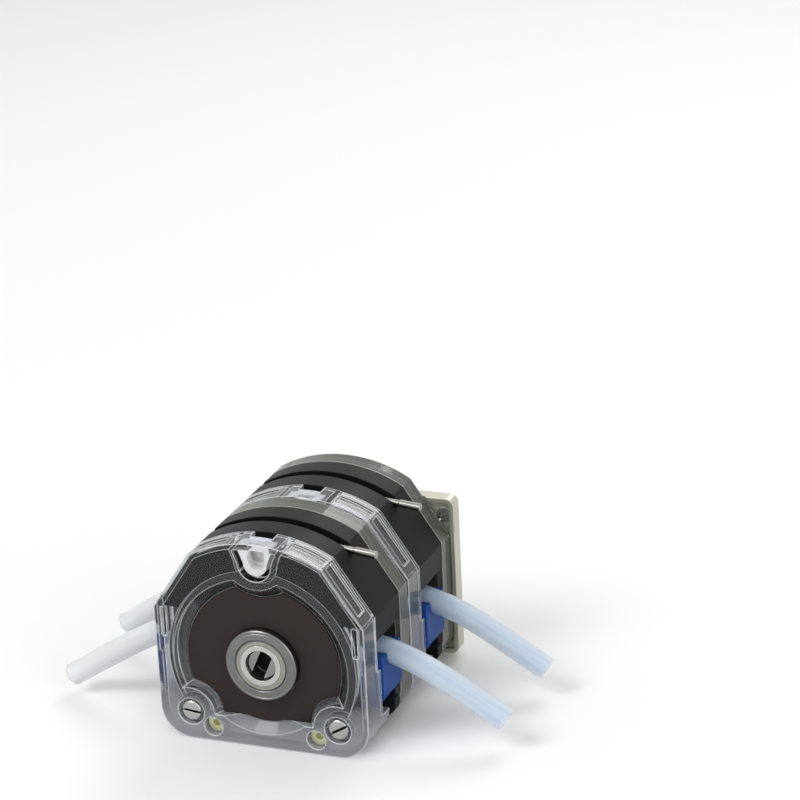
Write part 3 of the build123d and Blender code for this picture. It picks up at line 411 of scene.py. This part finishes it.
cream = Finish("seal_cream")
cloud = cream.noise(300)
split = [
    cream.start.node("ShaderNodeSeparateXYZ", sockets={"Vector": cream.place}, out=axis)
    for axis in ("X", "Z")
]
reach = (split[0] ** 2.0 + split[1] ** 2.0) ** 0.5
rim = reach > 0.0120
cream.put(
    cream.gloss(
        Base_Color=cream.blend(
            rim, cream.blend(cloud, (0.24, 0.24, 0.215), (0.32, 0.32, 0.28)), (0.13, 0.13, 0.12)
        ),
        Metallic=rim * 0.9,
        Roughness=0.36 + cloud * 0.12,
        Specular_IOR_Level=0.3,
        Normal=cream.rounded(0.0002),
    ),
    *seals,
)
steel, shader = turned_steel("inner_race_steel", [(0, 0)], (0.46, 0.46, 0.44))
steel.put(
    shader,
    *[nodes[f"{part}_{head}"] for part in ("bearing_inners", "bearing_balls") for head in (1, 2)],
)

# ---------------------------------------------------------------- rotor shafts
# A 15 mm shaft with a slot across its front end and a tang on its back end, so that the heads drive one
# another. The end face shows the rings of its facing cut and a broken edge with a painted highlight, and
# painted shade darkens the inside of its slot.
shaft_setback = 0.0025
shaft_slot_reach = 0.0073
shaft_slot_end = 0.0075
slot_skin = 0.0002
for head, middle in enumerate(mid_depths, 1):
    face = middle - half_depth + shaft_setback
    steel, shader = turned_steel(
        f"shaft_steel_{head}",
        [(0, 0)],
        (0.24, 0.24, 0.23),
        0.0009,
        shaft_slot_reach,
        face + slot_skin,
        face + shaft_slot_end,
    )
    steel.put(shader, nodes[f"rotor_shaft_{head}"])

# ---------------------------------------------------------------- rotor discs, pins and rollers
# Two punched steel discs hold three pins, and a ground roller turns on each pin. They roll over
# the tube and squeeze it against the bed.
pitch_radius = 0.0202
roller_places = [
    (pitch_radius * cos(radians(angle)), pitch_radius * sin(radians(angle))) for angle in (90, 210, 330)
]
steel, shader = turned_steel("disc_steel", [(0, 0)], (0.34, 0.34, 0.32))
steel.put(shader, nodes["rotor_discs_1"], nodes["rotor_discs_2"])
steel, shader = turned_steel("roller_steel", roller_places, (0.46, 0.46, 0.44))
rolling_parts = ("roller_pins", "roller_a", "roller_b", "roller_c")
steel.put(shader, *[nodes[f"{part}_{head}"] for head in (1, 2) for part in rolling_parts])

# ---------------------------------------------------------------- occlusion beds
# The black bed is the arch that the rollers squeeze the tube against. Two cams lift it to free
# the tube, and a slot across its crown lets the lever swing over.
black_moulding("bed_black", ["occlusion_bed_1", "occlusion_bed_2"], (0.0050, 0.0056, 0.0054), 0.38)

# ---------------------------------------------------------------- cam shafts and levers
# A steel shaft with two eccentric cams crosses each head under its crown. A slim rod with a
# thicker grip is pressed into it, and swings half a turn.
steel, shader = turned_steel("cam_steel", [(0, 0.0528)], (0.40, 0.40, 0.38))
steel.put(shader, nodes["cam_shaft_1"], nodes["cam_shaft_2"])

rod = Finish("lever_steel")
drawn_and_reflected = rod.noise(1500, 2.0, (0.04, 1, 1))
rod.put(
    rod.gloss(
        # The drawn streaks follow real drawing marks; their dark low tone is a painted reflection of dark
        # surroundings.
        Base_Color=rod.blend(drawn_and_reflected, (0.16, 0.155, 0.145), (0.46, 0.45, 0.43)),
        Metallic=1.0,
        Roughness=0.18 + drawn_and_reflected * 0.14,
        Normal=rod.bumped(drawn_and_reflected, 0.00001, rod.rounded(0.0003)),
    ),
    nodes["lever_rod_1"],
    nodes["lever_rod_2"],
)

# ---------------------------------------------------------------- silicone tube inside the heads
# The tube lies pinched flat under the bed and opens to its full round at both outlets. Silicone is
# milky, slightly blue, and lets light through its wall.


def silicone(name, low, high, *pieces, along=False):
    """Translucent silicone: milky with drifting cloudiness and a tacky, half-gloss skin. With along, streaks
    run down the tube as lighter lines of painted highlight, and painted shade makes it start darker and
    bluer, clearing over its first 29 mm."""
    rubber = Finish(name)
    stretch = (1, 1, 1)
    if along:
        rubber.place = rubber.start.node(
            "ShaderNodeAttribute", {"attribute_name": "along_tube"}, out="Vector"
        )
        stretch = (1, 1, 0.05)
    cloud = rubber.noise(70, 3.0, stretch)
    streak = rubber.noise(420, 2.0, stretch)
    # The streaks lighten the colour; with along they are painted highlight lines down the tube.
    colour = rubber.blend((cloud * 0.6 + streak * 0.4 - 0.5) * 2.4 + 0.55, low, high)
    if along:
        travel = rubber.start.node("ShaderNodeSeparateXYZ", sockets={"Vector": rubber.place}, out="Z")
        # Painted shade: the tube is darker and bluer near the retainer, clearing over its first 29 mm.
        colour = rubber.blend((travel * 34.0).held(), (0.36, 0.46, 0.60), colour)
    milky = rubber.gloss(
        Base_Color=colour,
        Roughness=0.22 + streak * 0.16,
        Specular_IOR_Level=0.4,
        Subsurface_Weight=0.7,
        Subsurface_Radius=(0.9, 1.0, 1.1),
        Subsurface_Scale=0.003,
        Normal=rubber.bumped(streak, 0.00006),
    )
    clear = rubber.gloss(
        Base_Color=(0.86, 0.92, 0.98),
        Roughness=0.20,
        IOR=1.25,
        Transmission_Weight=1.0,
        Normal=rubber.bumped(streak, 0.00006),
    )
    share = 0.34 + cloud * 0.1
    rubber.put(
        rubber.start.node("ShaderNodeMixShader", sockets={0: share, 1: milky, 2: clear}), *pieces
    )


silicone(
    "inner_silicone", (0.50, 0.58, 0.68), (0.66, 0.74, 0.82), nodes["tube_inner_1"], nodes["tube_inner_2"]
)

# ---------------------------------------------------------------- free tube ends
# Four lengths of the same tube leave the heads, 11.2 mm outside with a 6.4 mm bore. They are cut
# square at their free ends, droop a little, and are held where they pass through the retainers.
tube_outer = 0.0056
tube_bore = 0.0032
lip = 0.0004
tube_ends = {
    "tube_right_1": (-0.090, [(40, 3.5), (54, 0.8), (69, -5.2), (89, -16), (107, -27.1)]),
    "tube_right_2": (-0.033, [(40, 3.5), (54, 0.8), (70, -5.6), (89, -16.5), (107.5, -28)]),
    "tube_left_1": (-0.090, [(-40, 3.5), (-54, 0.8), (-69.5, -6), (-91.2, -18.8), (-112.25, -32.56)]),
    "tube_left_2": (-0.033, [(-40, 3.5), (-54, 0.8), (-69.5, -5.8), (-91, -18.2), (-111.5, -31.5)]),
}


def route_line(depth, route):
    """Points along the smooth NURBS line whose control points are the route's, in metres."""
    data = bpy.data.curves.new("route", "CURVE")
    data.dimensions = "3D"
    spline = data.splines.new("NURBS")
    spline.points.add(len(route) - 1)
    for point, (x, z) in zip(spline.points, route):
        point.co = (x / 1000, depth, z / 1000, 1)
    spline.order_u = 3
    spline.use_endpoint_u = True
    spline.resolution_u = 24
    holder = bpy.data.objects.new("route", data)
    mesh = bpy.data.meshes.new_from_object(holder)
    line = np.empty(len(mesh.vertices) * 3)
    mesh.vertices.foreach_get("co", line)
    bpy.data.objects.remove(holder)
    bpy.data.meshes.remove(mesh)
    return line.reshape(-1, 3)


def tube_wall(line, around=48):
    """A hollow tube on a line in a plane of constant Y. Each ring is the line's point plus radius
    times cos(turn) along Y and sin(turn) along the line's normal. The rings run out along the
    outside, over a rounded lip, back along the bore and over the other lip."""
    ahead = np.gradient(line, axis=0)
    ahead /= np.linalg.norm(ahead, axis=1)[:, None]
    normal = np.stack([-ahead[:, 2], np.zeros(len(line)), ahead[:, 0]], axis=1)
    last = len(line) - 1
    stations = np.concatenate([np.arange(last + 1), [last] * 3, np.arange(last, -1, -1), [0] * 3])
    radii = np.concatenate(
        [
            np.full(last + 1, tube_outer),
            [tube_outer - lip / 2, (tube_outer + tube_bore) / 2, tube_bore + lip / 2],
            np.full(last + 1, tube_bore),
            [tube_bore + lip / 2, (tube_outer + tube_bore) / 2, tube_outer - lip / 2],
        ]
    )
    shift = np.zeros(len(radii))
    shift[[0, last, last + 4, 2 * last + 4]] = [lip / 2, -lip / 2, -lip / 2, lip / 2]
    turn = np.linspace(0, 2 * np.pi, around, endpoint=False)
    ring = np.cos(turn)[None, :, None] * np.array([0, 1, 0])
    ring = ring + np.sin(turn)[None, :, None] * normal[stations][:, None, :]
    centres = line[stations] + ahead[stations] * shift[:, None]
    return centres[:, None, :] + radii[:, None, None] * ring


def mark_along(piece, line, around=48):
    """Keeps a place on the tube in an attribute: tube radius times cos and sin of the turn, and
    the length run along the line, for each of the wall's rings."""
    run = np.concatenate([[0], np.cumsum(np.linalg.norm(np.diff(line, axis=0), axis=1))])
    travel = np.concatenate([run, [run[-1]] * 3, run[::-1], [0] * 3])
    turn = np.linspace(0, 2 * np.pi, around, endpoint=False)
    place = np.empty((len(travel), around, 3))
    place[..., 0] = tube_outer * np.cos(turn)
    place[..., 1] = tube_outer * np.sin(turn)
    place[..., 2] = travel[:, None]
    marks = piece.data.attributes.new("along_tube", "FLOAT_VECTOR", "POINT")
    marks.data.foreach_set("vector", place.ravel())


free_tubes = []
for node_name, (depth, route) in tube_ends.items():
    line = route_line(depth, route)
    tube = grid_piece(f"silicone_{node_name}", tube_wall(line))
    mark_along(tube, line)
    free_tubes.append(tube)
    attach(tube, "housing")
    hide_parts(node_name)
# Both pairs are the same silicone: the left pair is painted paler and greyer and the right pair darker and
# bluer, as light and shade fall on each side.
silicone("right_silicone", (0.52, 0.64, 0.80), (0.90, 0.94, 0.99), *free_tubes[:2], along=True)
silicone("left_silicone", (0.80, 0.81, 0.82), (0.96, 0.96, 0.96), *free_tubes[2:], along=True)

# ---------------------------------------------------------------- tube retainers and pull tabs
# A blue moulded jaw slides up on each side to hold the tube, and a black tab under it pulls it down. The
# blue is satin, and a painted highlight makes it a little lighter along its edges.
blue = Finish("retainer_blue")
grain = blue.noise(2200, 2.0)
cloud = blue.noise(55)
colour = blue.blend(cloud, (0.008, 0.046, 0.215), (0.013, 0.064, 0.275))
blue.put(
    blue.gloss(
        # Painted highlight: edges are lightened to a brighter blue.
        Base_Color=blue.blend(blue.edge(0.0008) * 0.6, colour, (0.05, 0.15, 0.45)),
        Roughness=0.38 + cloud * 0.1,
        Specular_IOR_Level=0.10,
        Normal=blue.bumped(grain, 0.00002, blue.rounded(0.0006)),
    ),
    *[nodes[f"retainer_{side}_{head}"] for side in ("right", "left") for head in (1, 2)],
)
black_moulding("tab_black", [f"tab_{side}_{head}" for side in ("right", "left") for head in (1, 2)])

# ---------------------------------------------------------------- cam bushings
# An off-white plug in each front cover's pocket carries the end of the cam shaft. A window in its
# face shows the shaft's end.
plug = Finish("bushing_white")
cloud = plug.noise(120)
plug.put(
    plug.gloss(
        Base_Color=plug.blend(cloud, (0.60, 0.60, 0.61), (0.72, 0.72, 0.73)),
        Roughness=0.34 + cloud * 0.1,
        Specular_IOR_Level=0.3,
        Normal=plug.rounded(0.0005),
    ),
    nodes["cam_bushing_1"],
    nodes["cam_bushing_2"],
)

# ---------------------------------------------------------------- front covers
# The front cover is a clear polished moulding, 3 mm thick, with a flared dish in its face and shallow
# channels around its rim. A painted highlight makes its edges look almost white.
clear_plastic(
    "clear_front",
    (0.68, 0.70, 0.73),
    (0.29, 0.295, 0.32),
    (0.012, 0.58),
    (0.93, 0.95, 0.95),
    0.88,
    nodes["front_cover_1"],
    nodes["front_cover_2"],
)

# ---------------------------------------------------------------- face plates
# A dark brown sheet lies on the floor of each dish, around the bearing. It is satin, with a faint
# mottle and a slightly redder tone where light reaches into it.
brown = Finish("face_brown")
mottle = brown.noise(260, 5.0)
drift = brown.noise(24)
colour = brown.blend(drift, (0.016, 0.011, 0.010), (0.026, 0.016, 0.014))
colour = brown.blend(mottle, colour, (0.025, 0.019, 0.018))
brown.put(
    brown.gloss(
        Base_Color=colour,
        Roughness=0.46 + drift * 0.14,
        Specular_IOR_Level=0.2,
        Normal=brown.bumped(mottle, 0.00002, brown.rounded(0.0003)),
    ),
    nodes["face_plate_1"],
    nodes["face_plate_2"],
)

# ---------------------------------------------------------------- cover screws
# Two slotted cheese-head screws close each pair of covers. They are turned steel, 9.7 mm across their heads,
# and painted shade darkens the insides of their slots.
screw_places = [(-0.0365, -0.0276), (0.0365, -0.0276)]
screw_setback = 0.0005
screw_slot_reach = 0.0043
screw_slot_end = 0.0018
for head, middle in enumerate(mid_depths, 1):
    face = middle - half_depth + screw_setback
    steel, shader = turned_steel(
        f"cover_screw_steel_{head}",
        screw_places,
        (0.40, 0.40, 0.38),
        0.0008,
        screw_slot_reach,
        face + slot_skin,
        face + screw_slot_end,
    )
    steel.put(shader, nodes[f"cover_screws_{head}"])

# ---------------------------------------------------------------- mounting bolts
# Two long bolts run through the whole stack into the plate. Their heads lie deep in the front
# cover and are passivated to a pale yellow.
bolt = Finish("bolt_yellow_zinc")
cloud = bolt.noise(500, 3.0)
bolt.put(
    bolt.gloss(
        Base_Color=bolt.blend(cloud, (0.58, 0.56, 0.33), (0.76, 0.75, 0.52)),
        Metallic=0.35,
        Roughness=0.32 + cloud * 0.14,
        Normal=bolt.rounded(0.0004),
    ),
    nodes["mounting_bolts"],
)

# ---------------------------------------------------------------- floor, light and camera
# A pale floor, a bright surround and two soft lamps. The camera looks at the right front from a
# little above.
floor_mesh = bpy.data.meshes.new("floor")
floor_mesh.from_pydata([(-6, -6, 0), (6, -6, 0), (6, 6, 0), (-6, 6, 0)], [], [(0, 1, 2, 3)])
floor = bpy.data.objects.new("floor", floor_mesh)
floor.location = (0, 0, -0.0413)
bpy.context.scene.collection.objects.link(floor)
pale = Finish("floor_pale")
pale.put(pale.gloss(Base_Color=(0.90, 0.90, 0.90), Roughness=0.9), floor)

world = bpy.data.worlds.new("surround")
world.use_nodes = True
world.node_tree.nodes.clear()
sky = Wire(world.node_tree)
seen = sky.node("ShaderNodeLightPath", out="Is Camera Ray")
glint = sky.node("ShaderNodeLightPath", out="Is Glossy Ray")
passed = sky.node("ShaderNodeLightPath", out="Is Transmission Ray")
strength = 0.60 + (seen + glint + passed).at_most(1.0) * 0.40
light = sky.node("ShaderNodeBackground", sockets={"Color": (1, 1, 1, 1), "Strength": strength})
sky.node("ShaderNodeOutputWorld", sockets={"Surface": light})
bpy.context.scene.world = world

for name, place, size, power in (
    ("key", (-0.9, -1.2, 1.5), 0.9, 19.0),
    ("fill", (1.5, -0.8, 0.7), 1.1, 7.5),
    ("back", (0.1, 1.3, 1.3), 0.8, 8.5),
):
    data = bpy.data.lights.new(name, "AREA")
    data.size = size
    data.energy = power
    lamp = bpy.data.objects.new(name, data)
    lamp.location = place
    lamp.rotation_euler = (Vector((0, -0.07, 0)) - Vector(place)).to_track_quat("-Z", "Y").to_euler()
    bpy.context.scene.collection.objects.link(lamp)

azimuth, elevation, roll = radians(21.847), radians(20.738), radians(-2.736)
forward = Vector((-sin(azimuth) * cos(elevation), cos(azimuth) * cos(elevation), -sin(elevation)))
level = Vector((cos(azimuth), sin(azimuth), 0))
upright = level.cross(forward)
right = level * cos(roll) + upright * sin(roll)
top = upright * cos(roll) - level * sin(roll)
camera_data = bpy.data.cameras.new("camera")
camera_data.sensor_width = 36.0
camera_data.lens = 137.073
camera_data.clip_start = 0.05
camera = bpy.data.objects.new("camera", camera_data)
turned = Matrix((right, top, -forward)).transposed().to_4x4()
camera.matrix_world = Matrix.Translation((0.5301, -1.2562, 0.6)) @ turned
bpy.context.scene.collection.objects.link(camera)
bpy.context.scene.camera = camera
bpy.context.scene.view_settings.view_transform = "Standard"
